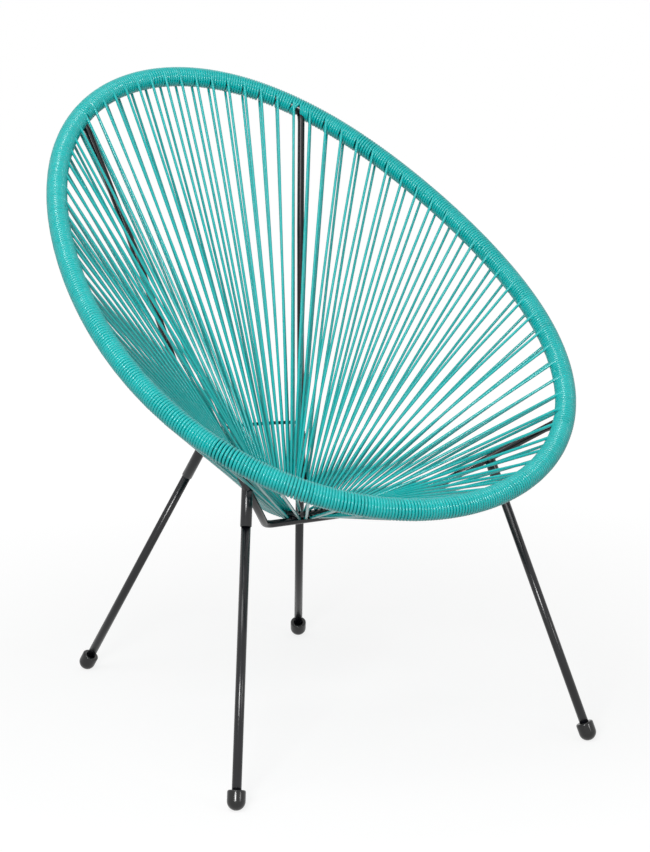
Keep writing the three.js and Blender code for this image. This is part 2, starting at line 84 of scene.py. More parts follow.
def rim_point(station):
    """Centre of the tube, in millimetres. Station 0 is the top and station 39 the front."""
    t = station * 2 * math.pi / STATIONS
    once, thrice = math.cos(t), math.cos(3 * t)
    side = (1 - math.cos(2 * t)) / 2
    width = 1 - PEAR_SHAPE * once + END_FULLNESS * math.cos(2 * t)
    depth = (1 - DEPTH_ROUNDING) * once + DEPTH_ROUNDING * thrice
    rise = (1 - RISE_ROUNDING) * once + RISE_ROUNDING * thrice
    x = RIM_HALF_WIDTH * math.sin(t) * width
    y = RIM_HALF_DEPTH * depth + SIDES_BACK * side
    z = RIM_MIDDLE_HEIGHT + RIM_HALF_RISE * rise + SIDES_UP * side
    return np.array([x, y, z])


def rim_tangent(station, step=0.01):
    return unit(rim_point(station + step) - rim_point(station - step))


def carried_rings(path, radii, sides, looped=False):
    """Rings square to a path of points, carried along it without twist."""
    path = np.asarray(path, float)
    if looped:
        before, after = np.roll(path, 1, axis=0), np.roll(path, -1, axis=0)
    else:
        before = np.vstack([path[:1], path[:-1]])
        after = np.vstack([path[1:], path[-1:]])
    tangents = after - before
    tangents /= np.linalg.norm(tangents, axis=1)[:, None]
    across = np.cross(tangents[0], np.eye(3)[np.argmin(np.abs(tangents[0]))])
    turn = np.arange(sides) * 2 * math.pi / sides
    cosines, sines = np.cos(turn)[:, None], np.sin(turn)[:, None]
    radii = np.broadcast_to(radii, len(path))
    rings = np.empty((len(path), sides, 3))
    for i, tangent in enumerate(tangents):
        across = across - tangent * across.dot(tangent)
        across /= math.sqrt(across.dot(across))
        third = np.cross(tangent, across)
        rings[i] = path[i] + radii[i] * (cosines * across + sines * third)
    return rings


def ring_faces(count, sides, looped=False):
    """Skin between each ring and the next."""
    faces = []
    for i in range(count if looped else count - 1):
        lower, upper = i * sides, (i + 1) % count * sides
        for j in range(sides):
            k = (j + 1) % sides
            faces.append((lower + j, lower + k, upper + k, upper + j))
    return faces


def end_faces(count, sides):
    """Flat ends on the first and the last ring."""
    return [tuple(reversed(range(sides))), tuple(range((count - 1) * sides, count * sides))]


def new_piece(name, points, faces, material, nodes=(), flat_faces=0):
    """Piece of the chair from points in millimetres. The last flat_faces faces shade flat."""
    mesh = bpy.data.meshes.new(name)
    mesh.from_pydata((np.asarray(points).reshape(-1, 3) / METRE).tolist(), [], faces)
    smooth = [True] * (len(faces) - flat_faces) + [False] * flat_faces
    mesh.polygons.foreach_set("use_smooth", smooth)
    mesh.materials.append(material)
    piece = bpy.data.objects.new(name, mesh)
    bpy.context.collection.objects.link(piece)
    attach(piece, "root")
    if nodes:
        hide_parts(*nodes)
    return piece


def steel_bar(name, path, radius, nodes=(), sides=24, looped=False):
    """Round steel bar along a path, closed by flat ends unless it is a loop."""
    rings = carried_rings(path, radius, sides, looped)
    faces = ring_faces(len(rings), sides, looped)
    ends = [] if looped else end_faces(len(rings), sides)
    return new_piece(name, rings, faces + ends, steel, nodes, len(ends))


def linear(hex_colour):
    """Linear colour of an sRGB hex value."""
    parts = [int(hex_colour[i:i + 2], 16) / 255 for i in (1, 3, 5)]
    return [p / 12.92 if p <= 0.04045 else ((p + 0.055) / 1.055) ** 2.4 for p in parts] + [1]


def add_node(tree, kind, links=None, **settings):
    """Adds a node. Settings name its properties or inputs, and links feed its inputs."""
    node = tree.nodes.new(kind)
    for name, value in settings.items():
        if hasattr(node, name):
            setattr(node, name, value)
        else:
            node.inputs[name.replace("_", " ")].default_value = value
    for name, source in (links or {}).items():
        tree.links.new(source, node.inputs[name])
    return node


def new_material(name):
    material = bpy.data.materials.new(name)
    material.use_nodes = True
    tree = material.node_tree
    return material, tree, tree.nodes["Principled BSDF"]


# Powder-coated mild steel: the baked powder flows to a satin black skin with a faint orange peel
# about 1.5 mm across, which breaks up the reflections, and a very slight unevenness of colour in
# patches of about 26 mm.
steel, tree, shader = new_material("powder_coated_steel")
shader.inputs["Roughness"].default_value = 0.2
place = add_node(tree, "ShaderNodeTexCoord")
peel = add_node(
    tree, "ShaderNodeTexNoise", {"Vector": place.outputs["Object"]},
    Scale=650.0, Detail=1.5,
)
patches = add_node(
    tree, "ShaderNodeTexNoise", {"Vector": place.outputs["Object"]},
    Scale=38.0, Detail=4.0,
)
shade = add_node(tree, "ShaderNodeValToRGB", {"Fac": patches.outputs["Fac"]})
shade.color_ramp.elements[0].position = 0.35
shade.color_ramp.elements[0].color = linear("#07070C")
shade.color_ramp.elements[1].position = 0.68
shade.color_ramp.elements[1].color = linear("#0D0D14")
relief = add_node(
    tree, "ShaderNodeBump", {"Height": peel.outputs["Fac"]},
    Strength=0.25, Distance=0.0002,
)
tree.links.new(shade.outputs["Color"], shader.inputs["Base Color"])
tree.links.new(relief.outputs["Normal"], shader.inputs["Normal"])

rim_path = [rim_point(k / POINTS_PER_STATION) for k in range(STATIONS * POINTS_PER_STATION)]
steel_bar("rim_tube_bent", rim_path, RIM_RADIUS, ["rim_tube"], looped=True)

# Front rod
# One length of 10 mm steel rod, bent twice: its middle is the front bar of the base, and its two
# arms climb to the sides of the rim, where they are welded on between turns of the cord.
ROD_RADIUS = 5.0
FRONT_RIB_STATION = 30.5
BASE_HEIGHT = 289.0
BAR_Y = -86.4
ELBOW_X = 100.0
ELBOW_BEND = 20.0
RIB_BITE = 2


def bent_path(corners, bends, steps=10):
    """Path whose inner corners are rounded to the bend radii."""
    corners = [np.asarray(corner, float) for corner in corners]
    path = [corners[0]]
    for corner, before, after, bend in zip(corners[1:-1], corners, corners[2:], bends):
        into, out = unit(corner - before), unit(after - corner)
        turn = math.acos(np.clip(into.dot(out), -1, 1))
        centre = corner + unit(out - into) * bend / math.cos(turn / 2)
        start = corner - into * bend * math.tan(turn / 2)
        arm = start - centre
        for i in range(steps + 1):
            angle = turn * i / steps
            path.append(centre + arm * math.cos(angle) + into * bend * math.sin(angle))
    path.append(corners[-1])
    return path


def to_side(point, side):
    return np.array([side * point[0], point[1], point[2]])


def rib_start(station, toward):
    """Where a rib's end bites into the wall of the rim tube."""
    top = rim_point(station)
    return top + unit(np.asarray(toward, float) - top) * (RIM_RADIUS - RIB_BITE)


front_elbow = (ELBOW_X, BAR_Y, BASE_HEIGHT)
front_top = rib_start(FRONT_RIB_STATION, front_elbow)
front_rib_line = unit(rim_point(FRONT_RIB_STATION) - front_elbow)
front_corners = [
    to_side(front_top, -1),
    to_side(front_elbow, -1),
    front_elbow,
    front_top,
]
steel_bar(
    "front_rod", bent_path(front_corners, [ELBOW_BEND, ELBOW_BEND]), ROD_RADIUS,
    ["front_rib_left", "front_rib_right", "base_bar"],
)

# Base hoop
# An 8 mm steel rod bent to a closed ring on which all the cords meet: half a long oval behind, two
# round corners and a straight in front. It rests on the front bar and slopes down to the rear.
HOOP_RADIUS = 4.0
HOOP_HALF_WIDTH = 62.0
HOOP_WIDEST_Y = -75.0
HOOP_LENGTH = 151.6
HOOP_CORNER = 20.0
HOOP_POINTS = 144
OVAL_POINTS = 801
HOOP_REAR_Y = HOOP_WIDEST_Y + HOOP_LENGTH
HOOP_SLOPE = (HOOP_RADIUS + ROD_RADIUS) / (HOOP_REAR_Y - BAR_Y)
oval_turns = np.linspace(0, math.pi / 2, OVAL_POINTS)
oval = np.stack([
    HOOP_HALF_WIDTH * np.sin(oval_turns),
    HOOP_WIDEST_Y + HOOP_LENGTH * np.cos(oval_turns),
], 1)
oval_steps = np.linalg.norm(np.diff(oval, axis=0), axis=1)
oval_lengths = np.concatenate([[0], np.cumsum(oval_steps)])
OVAL_QUARTER = oval_lengths[-1]
CORNER_LENGTH = HOOP_CORNER * math.pi / 2
HOOP_HALF_LENGTH = OVAL_QUARTER + CORNER_LENGTH + HOOP_HALF_WIDTH - HOOP_CORNER


def hoop_point(length):
    """Point of the ring at a length from its rear end, negative on the left side."""
    reach = abs(length)
    turn = min(max((reach - OVAL_QUARTER) / HOOP_CORNER, 0), math.pi / 2)
    if reach < OVAL_QUARTER:
        x = np.interp(reach, oval_lengths, oval[:, 0])
        y = np.interp(reach, oval_lengths, oval[:, 1])
    else:
        x = HOOP_HALF_WIDTH - HOOP_CORNER * (1 - math.cos(turn))
        x -= max(reach - OVAL_QUARTER - CORNER_LENGTH, 0)
        y = HOOP_WIDEST_Y - HOOP_CORNER * math.sin(turn)
    height = BASE_HEIGHT + (HOOP_REAR_Y - y) * HOOP_SLOPE
    return np.array([math.copysign(x, length) if length else x, y, height])


def hoop_tangent(length, step=0.5):
    return unit(hoop_point(length + step) - hoop_point(length - step))


hoop_path = [
    hoop_point(length)
    for length in np.linspace(-HOOP_HALF_LENGTH, HOOP_HALF_LENGTH, HOOP_POINTS, endpoint=False)
]
steel_bar("base_hoop_bent", hoop_path, HOOP_RADIUS, ["base_hoop"], looped=True)

# Rear ribs
# Two 10 mm steel rods that carry the back. Each runs over the hoop, where it is welded, bends up
# at the knee above the rear leg, and climbs between the two layers of cord to the rim.
REAR_RIB_STATION = 7.7
HOOP_RIB_REACH = 44.85
REAR_KNEE = (73.5, 127.2, 338.0)
REAR_RISE = (134.4, 233.6, 630.0)
REAR_CREST = (168.1, 290.7, 773.0)
CREST_BEND = 40
RISE_BEND = 300
KNEE_BEND = 30
SETTLING_ROUNDS = 3
SIDES = ((-1, "left"), (1, "right"))
rear_rib_line = unit(np.subtract(REAR_RISE, REAR_KNEE))

# The height at which a rib clears the hoop depends on its slope, and the slope on that height.
over_hoop = hoop_point(HOOP_RIB_REACH)
for settling in range(SETTLING_ROUNDS):
    run = unit(over_hoop - REAR_KNEE)
    level = unit(np.cross(hoop_tangent(HOOP_RIB_REACH), run))
    rise = (HOOP_RADIUS + ROD_RADIUS) / abs(level[2])
    over_hoop = hoop_point(HOOP_RIB_REACH) + np.array([0, 0, rise])
rear_end = over_hoop + unit(over_hoop - REAR_KNEE) * HOOP_RADIUS
rear_corners = [
    rib_start(REAR_RIB_STATION, REAR_CREST),
    REAR_CREST,
    REAR_RISE,
    REAR_KNEE,
    rear_end,
]
rib_runs = []
for side, name in SIDES:
    path = bent_path(
        [to_side(corner, side) for corner in rear_corners], [CREST_BEND, RISE_BEND, KNEE_BEND],
    )
    rib_runs.append(path)
    rib_runs.append([to_side(corner, side) for corner in (front_elbow, front_top)])
    steel_bar(f"rear_rib_bent_{name}", path, ROD_RADIUS, [f"rear_rib_{name}"])

# Rear cross rod
# A thin steel rod, 5 mm thick and slightly bowed, welded between the rear ribs just above their
# knees to keep the ribs apart.
CROSS_RADIUS = 2.5
CROSS_HEIGHT = 367.0
CROSS_BOW = 22.0
CROSS_POINTS = 33
share = (CROSS_HEIGHT - REAR_KNEE[2]) / (REAR_RISE[2] - REAR_KNEE[2])
cross_end = np.array(REAR_KNEE) + share * (np.array(REAR_RISE) - REAR_KNEE)
cross_path = [
    np.array([cross_end[0] * part, cross_end[1] + CROSS_BOW * (1 - part * part), CROSS_HEIGHT])
    for part in np.linspace(-1, 1, CROSS_POINTS)
]
steel_bar("rear_cross_rod_bowed", cross_path, CROSS_RADIUS, ["rear_cross_rod"], sides=16)

# Legs, sockets and feet
# Four 12 mm steel tubes pushed up into short steel sleeves that are welded under the ribs. Each
# stands on a moulded black rubber cap whose rounded end is worn flat where it meets the floor.
LEG_RADIUS = 6.0
LEG_EDGE = 0.4
LEG_BOTTOM = 3
LEG_TOP_GAP = 13
SOCKET_RADIUS = 7.2
SOCKET_BORE = 6.35
SOCKET_TOP = 12
SOCKET_EDGE = 0.25
SOCKET_ROUNDING = 1.2
FRONT_SLEEVE_LENGTH = 47.5
REAR_SLEEVE_LENGTH = 54.5
FOOT_RADIUS = 11.5
FOOT_HEIGHT = 25.0
FOOT_ROUNDING = 2.5
FOOT_MOUTH_EDGE = 0.5
FOOT_STEPS = 16
FLOOR_CUT = 0.5
FRONT_FOOT = (261.5, -304.3)
REAR_FOOT = (174.3, 313.3)
FRONT_LEG_SHARE = 0.44
REAR_LEG_ABOVE_KNEE = 15
front_target = rim_point(FRONT_RIB_STATION) * (1 - FRONT_LEG_SHARE)
front_target = front_target + np.array(front_elbow) * FRONT_LEG_SHARE
rear_target = np.array(REAR_KNEE) + rear_rib_line * REAR_LEG_ABOVE_KNEE


def turned_piece(name, profile, origin, up, material, nodes, sides=40):
    """Solid of revolution. Profile holds (radius, height along up) pairs of its outline."""
    side = unit(np.cross(up, (0.0, 1.0, 0.0)))
    third = np.cross(up, side)
    turn = np.arange(sides) * 2 * math.pi / sides
    circle = np.cos(turn)[:, None] * side + np.sin(turn)[:, None] * third
    rings = [origin + up * along + radius * circle for radius, along in profile]
    faces = ring_faces(len(rings), sides) + end_faces(len(rings), sides)
    return new_piece(name, rings, faces, material, nodes, flat_faces=2)


def rounded(radius, along, edge, steps=5):
    """Quarter round of an edge, as (radius, height) pairs from the side to the end face."""
    pairs = []
    for i in range(steps + 1):
        angle = i / steps * math.pi / 2
        inward, upward = edge * (1 - math.cos(angle)), edge * (1 - math.sin(angle))
        pairs.append((radius - inward, along - upward))
    return pairs


# Moulded synthetic rubber: a smooth glossy black from the polished mould, with a dull bloom in
# soft patches about 6 mm across.
rubber, tree, shader = new_material("moulded_rubber")
shader.inputs["IOR"].default_value = 1.52
place = add_node(tree, "ShaderNodeTexCoord")
bloom = add_node(
    tree, "ShaderNodeTexNoise", {"Vector": place.outputs["Object"]},
    Scale=160.0, Detail=3.0,
)
dulling = add_node(
    tree, "ShaderNodeMapRange", {"Value": bloom.outputs["Fac"]},
    To_Min=0.12, To_Max=0.26,
)
shade = add_node(tree, "ShaderNodeValToRGB", {"Fac": bloom.outputs["Fac"]})
shade.color_ramp.elements[0].color = linear("#030304")
shade.color_ramp.elements[1].color = linear("#0A0A0C")
tree.links.new(dulling.outputs["Result"], shader.inputs["Roughness"])
tree.links.new(shade.outputs["Color"], shader.inputs["Base Color"])

leg_tops = []
for end, foot, target, sleeve_length, rib_line in (
    ("front", FRONT_FOOT, front_target, FRONT_SLEEVE_LENGTH, front_rib_line),
    ("rear", REAR_FOOT, rear_target, REAR_SLEEVE_LENGTH, rear_rib_line),
):
    for side, side_name in SIDES:
        corner_name = f"{end}_{side_name}"
        ground = np.array([side * foot[0], foot[1], FOOT_RADIUS - FLOOR_CUT])
        top = to_side(target, side)
        up = unit(top - ground)
        length = np.linalg.norm(top - ground)
        leg_tops.append((corner_name, top, up, to_side(rib_line, side)))

        # The sleeve's outline runs down its bore, round its lower edge and up its outside.
        sleeve = [
            (SOCKET_BORE, -SOCKET_TOP),
            (SOCKET_BORE, -sleeve_length),
            (SOCKET_RADIUS - SOCKET_EDGE, -sleeve_length),
            (SOCKET_RADIUS, -sleeve_length + SOCKET_EDGE),
        ] + rounded(SOCKET_RADIUS, 0, SOCKET_ROUNDING)
        turned_piece(
            f"socket_sleeve_{corner_name}", sleeve, top, up, steel,
            [f"leg_socket_{corner_name}"],
        )

        tube = [
            (LEG_RADIUS - LEG_EDGE, LEG_BOTTOM),
            (LEG_RADIUS, LEG_BOTTOM + LEG_EDGE),
            (LEG_RADIUS, length - LEG_TOP_GAP),
        ]
        turned_piece(
            f"leg_tube_{corner_name}", tube, ground, up, steel,
            [f"leg_{corner_name}"],
        )

        cap = []
        for i in range(1, FOOT_STEPS + 1):
            angle = i / FOOT_STEPS * math.pi / 2
            cap.append((FOOT_RADIUS * math.sin(angle), -FOOT_RADIUS * math.cos(angle)))
        mouth = FOOT_HEIGHT - FOOT_RADIUS
        cap += rounded(FOOT_RADIUS, mouth, FOOT_ROUNDING)
        cap += [(LEG_RADIUS + FOOT_MOUTH_EDGE, mouth), (LEG_RADIUS, mouth - FOOT_MOUTH_EDGE)]
        foot_piece = turned_piece(
            f"foot_cap_{corner_name}", cap, ground, up, rubber,
            [f"foot_{corner_name}"],
        )
        for vertex in foot_piece.data.vertices:
            vertex.co.z = max(vertex.co.z, 0)

# Weld beads
# Each joint of the frame is arc welded, and the powder covers the bead: a low rippled ring where a
# rod ends on another, and a pair of short seams where two of them lie side by side.
BEAD_RADIUS = 1.3
THIN_BEAD_RADIUS = 0.9
RIPPLE = 0.16
RIPPLE_STEP = 2.1
UNEVENNESS = 0.08
WELD_REACH = 40
SEAM_HALF_LENGTH = 4
SEAM_POINTS = 9
HOOP_SEAM_OFFSET = 2.6
SOCKET_SEAM_OFFSET = 5.3
RIB_SEAM_RISE = 0.2
corner_turn = math.asin((HOOP_WIDEST_Y - BAR_Y) / HOOP_CORNER)
BAR_REACH = OVAL_QUARTER + HOOP_CORNER * corner_turn
random = np.random.default_rng(seed=5)


def meeting_ring(spot, away, radius, other_along, other_radius, count=28):
    """Where the skin of a rod that leaves a spot meets the skin of the rod it is welded to."""
    along = -away
    side = unit(np.cross(along, other_along))
    third = np.cross(along, side)
    ring = []
    for angle in np.arange(count) * 2 * math.pi / count:
        point = spot + away * WELD_REACH
        point = point + radius * (math.cos(angle) * side + math.sin(angle) * third)
        offset = point - spot
        offset = offset - other_along * offset.dot(other_along)
        step = along - other_along * along.dot(other_along)
        a, b = step.dot(step), offset.dot(step)
        c = offset.dot(offset) - other_radius ** 2
        root = math.sqrt(max(b * b - a * c, 0))
        ring.append(point + along * (-b - root) / a)
    return ring


def bead_piece(name, path, looped=True, size=BEAD_RADIUS):
    """Weld bead along a path, with the ripple of the arc and some unevenness."""
    wave = RIPPLE * np.sin(np.arange(len(path)) * RIPPLE_STEP)
    uneven = UNEVENNESS * random.standard_normal(len(path))
    return steel_bar(name, path, size * (1 + wave + uneven), sides=8, looped=looped)


def seam_pair(name, touch, along, across, offset, ends):
    """Two short seams, one on each side of the line where two rods touch."""
    for edge, end in zip((-1, 1), ends):
        middle = touch + across * edge * offset
        seam = [
            middle + along * step
            for step in np.linspace(-SEAM_HALF_LENGTH, SEAM_HALF_LENGTH, SEAM_POINTS)
        ]
        bead_piece(f"{name}_{end}", seam, looped=False)


for side, name in SIDES:
    for station, toward, end in (
        (FRONT_RIB_STATION, front_elbow, "front"),
        (REAR_RIB_STATION, REAR_CREST, "rear"),
    ):
        centre = to_side(rim_point(station), side)
        away = unit(to_side(toward, side) - centre)
        tangent = unit(to_side(rim_tangent(station), side))
        ring = meeting_ring(centre, away, ROD_RADIUS, tangent, RIM_RADIUS)
        bead_piece(f"weld_{end}_rib_{name}", ring)
    bar_touch = to_side(hoop_point(BAR_REACH), side) - np.array([0, 0, HOOP_RADIUS])
    rib_touch = to_side(hoop_point(HOOP_RIB_REACH), side)
    rib_touch = rib_touch + np.array([0, 0, HOOP_RADIUS + RIB_SEAM_RISE])
    for touch, line, joint in (
        (bar_touch, np.array([1.0, 0, 0]), "bar"),
        (rib_touch, unit(to_side(over_hoop - REAR_KNEE, side)), "rib"),
    ):
        across = unit(np.cross(line, (0, 0, 1.0)))
        seam_pair(
            f"weld_hoop_{joint}_{name}", touch, line, across, HOOP_SEAM_OFFSET, ("near", "far"),
        )
    spot = to_side(cross_end, side)
    away = unit(to_side(cross_path[1] - cross_path[0], -side))
    ring = meeting_ring(
        spot, away, CROSS_RADIUS, to_side(rear_rib_line, side), ROD_RADIUS, count=20,
    )
    bead_piece(f"weld_cross_rod_{name}", ring, size=THIN_BEAD_RADIUS)

for corner_name, top, up, rib_line in leg_tops:
    across = unit(np.cross(up, rib_line))
    seam_pair(
        f"weld_socket_{corner_name}", top, rib_line, across, SOCKET_SEAM_OFFSET, ("in", "out"),
    )

# Cord
# One extruded cord of soft PVC, 3.9 mm thick, wound round the rim and strung in two layers: it
# leaves the rim's upper face, runs down to the base hoop, passes round it and comes back to the
# rim's underside, then takes several close turns before the next strand.
CORD_RADIUS = 1.95
CORD_SIDES = 8
FIRST_STATION = 4
LEAD = 0.27
TURN_POINTS = 20
TURN_PITCHES = ((0, 3.6), (6, 3.6), (12, 3.8), (21, 4.0), (39, 3.9))
USUAL_TURNS = 8
OUTER_CROSSING = 0.75
INNER_SPREAD = 0.86
HOOP_RIB_STATION = 11.5
REAR_PITCH = 3.9
FRONT_PITCH = 8.5
FRONT_RUN_STATION = 31.5
EVENNESS = 0.7
SECTOR_ENDS = [3.5, 7.5, 11.5, 15.5, 19.5, 23.5, 27.5, 30.5, 33.5, 36.5]
CORD_GAP = 0.15
ROD_CLEARANCE = ROD_RADIUS + CORD_RADIUS + CORD_GAP
PARTED_REACH = 26.0
STRAND_POINTS = 31
PULLS = 120
LEAST_PUSH = 0.2
LOOP_STEPS = 10


def folded(station):
    """Station counted from the top, negative on the left side."""
    return (station + FRONT_STATION) % STATIONS - FRONT_STATION


def hoop_reach(station):
    """Length along the ring at which a station's strands pass round it."""
    k = abs(folded(station))
    front_end = HOOP_HALF_LENGTH - FRONT_PITCH * (FRONT_STATION - FRONT_RUN_STATION)
    if k <= HOOP_RIB_STATION:
        reach = REAR_PITCH * k
    elif k >= FRONT_RUN_STATION:
        reach = HOOP_HALF_LENGTH - FRONT_PITCH * (FRONT_STATION - k)
    else:
        part = (k - HOOP_RIB_STATION) / (FRONT_RUN_STATION - HOOP_RIB_STATION)
        spread = EVENNESS * part + (1 - EVENNESS) * part * part
        reach = HOOP_RIB_REACH + (front_end - HOOP_RIB_REACH) * spread
    past_bar = reach - BAR_REACH
    if abs(past_bar) < ROD_CLEARANCE:
        reach = BAR_REACH + math.copysign(ROD_CLEARANCE, past_bar)
    return math.copysign(reach, folded(station))


def fall_line(station):
    """Direction from the rim down to the hoop."""
    return unit(hoop_point(hoop_reach(station)) - rim_point(station))


rod_starts = np.concatenate([run[:-1] for run in rib_runs])
rod_steps = np.concatenate([np.diff(run, axis=0) for run in rib_runs])


def past_rods(points):
    """Points moved out of the ribs' way, and whether any had to move."""
    between = points[:, None] - rod_starts
    part = (between * rod_steps).sum(2) / (rod_steps ** 2).sum(1)
    offset = between - np.clip(part, 0, 1)[:, :, None] * rod_steps
    apart = np.linalg.norm(offset, axis=2)
    nearest = apart.argmin(1)
    rows = np.arange(len(points))
    push = np.maximum(ROD_CLEARANCE - apart[rows, nearest], 0)
    away = offset[rows, nearest] / apart[rows, nearest][:, None]
    return points + away * push[:, None], push.max() > LEAST_PUSH


def taut(start, end):
    """A strand pulled straight, or tight round a rib that is in its way."""
    points = np.linspace(start, end, STRAND_POINTS)
    if not past_rods(points[1:-1])[1]:
        return [start, end]
    for pull in range(PULLS):
        points[1:-1] = (points[:-2] + points[2:]) / 2
        points[1:-1] = past_rods(points[1:-1])[0]
    return list(points)


def turn_count(leave, carried):
    """Turns up to the next strand, and what the rounding leaves over."""
    k = abs(folded(leave + 0.5))
    spacing = np.linalg.norm(rim_point(leave + 1) - rim_point(leave))
    wanted = spacing / np.interp(k, *zip(*TURN_PITCHES)) + carried
    return round(wanted), wanted - round(wanted), spacing


# The turns part where a rib meets the rim. Each rib is given the outer crossing that its two
# neighbours part from.
wrap_radius = RIM_RADIUS + CORD_RADIUS
counts = []
carried = 0.0
for k in range(STATIONS):
    count, carried, spacing = turn_count(k + LEAD, carried)
    counts.append((count, spacing))
partings = []
for rib in (REAR_RIB_STATION, FRONT_RIB_STATION,
            STATIONS - FRONT_RIB_STATION, STATIONS - REAR_RIB_STATION):
    k = int(rib - LEAD)
    counts[k] = (counts[k][0] - 1, counts[k][1])
    count, spacing = counts[k]
    crossing = round((rib - k - LEAD) * count - OUTER_CROSSING)
    partings.append((rib, k + LEAD + (crossing + OUTER_CROSSING) / count, spacing))


def wound_point(station, angle, radius):
    """Point of a turn. Angle 0 is behind the rim, a quarter turn outside, a half in front."""
    for rib, split, spacing in partings:
        off = ((station - split + FRONT_STATION) % STATIONS - FRONT_STATION) * spacing
        if abs(off) >= PARTED_REACH:
            continue
        side = math.copysign(1, off)
        shift = (rib - split) * spacing
        half = spacing / (2 * USUAL_TURNS)
        share = (PARTED_REACH - side * shift - ROD_CLEARANCE) / (PARTED_REACH - half)
        parted = shift + side * (ROD_CLEARANCE + max(abs(off) - half, -half) * share)
        inner = max(-math.sin(angle), 0)
        station += inner * (parted - off) / spacing
    tangent = rim_tangent(station)
    over = unit(np.cross(fall_line(station), tangent))
    outward = np.cross(over, tangent)
    outward *= -math.copysign(1, outward.dot(fall_line(station)))
    return rim_point(station) + radius * (-math.cos(angle) * over + math.sin(angle) * outward)


cord_path = []
cord_station = []


def lay(points, stations):
    cord_path.extend(points)
    cord_station.extend(np.broadcast_to(stations, len(points)))


# At each station a strand runs down, a loop passes under the hoop, a strand comes back up, and the
# turns follow. A loop that meets a rear rib starts from above that rib.
loop_radius = HOOP_RADIUS + CORD_RADIUS
bends = np.linspace(0, math.pi, LOOP_STEPS + 1)
for k in range(FIRST_STATION, FIRST_STATION + STATIONS):
    leave = k + LEAD
    count, spacing = counts[k % STATIONS]
    arrive = leave + 0.5 / count
    length = hoop_reach(leave)
    hub = hoop_point(length)
    tangent = hoop_tangent(length)
    fall = fall_line(leave)
    upper = unit(np.cross(fall, tangent))
    upper *= math.copysign(1, upper[2])
    inward = unit(np.cross(tangent, upper))
    inward *= math.copysign(1, inward.dot(fall))
    from_rib = abs(abs(length) - HOOP_RIB_REACH)
    lift = np.zeros(3)
    if from_rib < ROD_CLEARANCE:
        depth = HOOP_RADIUS + ROD_RADIUS + math.sqrt(ROD_CLEARANCE ** 2 - from_rib ** 2)
        lift = upper * (depth - loop_radius)
    lay(taut(wound_point(leave, math.pi, wrap_radius), hub + upper * loop_radius + lift), k)
    for i in range(1, LOOP_STEPS):
        spot = hub + loop_radius * (math.cos(bends[i]) * upper + math.sin(bends[i]) * inward)
        lay([spot + lift if i < LOOP_STEPS / 2 else spot], k)
    lay(taut(hub - upper * loop_radius, wound_point(arrive, 0, wrap_radius)), k)

    total = math.pi * (2 * count - 1)
    for angle in np.linspace(0, total, int((count - 0.5) * TURN_POINTS) + 1)[1:-1]:
        part = (0.5 + angle / (2 * math.pi)) / count
        spread = max(-math.sin(angle), 0) * (part - 0.5) * INNER_SPREAD / count
        lay([wound_point(leave + part + spread, angle, wrap_radius)], k + min(part, 1))

# Extruded soft PVC: dyed through, smooth and glossy from the die, with faint lengthwise streaks
# under half a millimetre wide and slow changes of tone every 4 cm.
pvc, tree, shader = new_material("extruded_pvc_cord")
shader.inputs["IOR"].default_value = 1.53
shader.inputs["Roughness"].default_value = 0.2
place = add_node(tree, "ShaderNodeUVMap", uv_map="cord_length")
along_cord = add_node(
    tree, "ShaderNodeMapping", {"Vector": place.outputs["UV"]}, Scale=(25.0, 1.0, 1.0),
)
streaked = add_node(
    tree, "ShaderNodeMapping", {"Vector": place.outputs["UV"]}, Scale=(60.0, 28.0, 1.0),
)
tone = add_node(
    tree, "ShaderNodeTexNoise", {"Vector": along_cord.outputs["Vector"]}, Scale=1.0, Detail=3.0,
)
streaks = add_node(
    tree, "ShaderNodeTexNoise", {"Vector": streaked.outputs["Vector"]}, Scale=1.0, Detail=2.0,
)
shade = add_node(tree, "ShaderNodeValToRGB", {"Fac": tone.outputs["Fac"]})
shade.color_ramp.elements[0].position = 0.3
shade.color_ramp.elements[0].color = linear("#00B3B1")
shade.color_ramp.elements[1].position = 0.7
shade.color_ramp.elements[1].color = linear("#00C1BF")
relief = add_node(
    tree, "ShaderNodeBump", {"Height": streaks.outputs["Fac"]}, Strength=0.12, Distance=0.0001,
)
tree.links.new(shade.outputs["Color"], shader.inputs["Base Color"])
tree.links.new(relief.outputs["Normal"], shader.inputs["Normal"])

# The route is one endless line. It is turned so that it starts at the end of the rear sector, and
# then cut into pieces where the sector changes.
cord_path = np.array(cord_path)
cord_station = np.array(cord_station)
wrapped = cord_station > STATIONS + SECTOR_ENDS[0]
order = np.concatenate([np.flatnonzero(wrapped), np.flatnonzero(~wrapped)])
cord_path = cord_path[order]
cord_station = cord_station[order] - STATIONS * wrapped[order]
cord_rings = carried_rings(cord_path, CORD_RADIUS, CORD_SIDES, looped=True)
steps = np.linalg.norm(np.diff(cord_path, axis=0), axis=1)
cord_lengths = np.concatenate([[0], np.cumsum(steps)]) / METRE


def sector_name(station):
    k = folded(station)
    sector = int(np.searchsorted(SECTOR_ENDS, abs(k)))
    if sector == 0:
        return "rear"
    if sector == len(SECTOR_ENDS):
        return "front"
    return f"{'right' if k > 0 else 'left'}_{sector}"


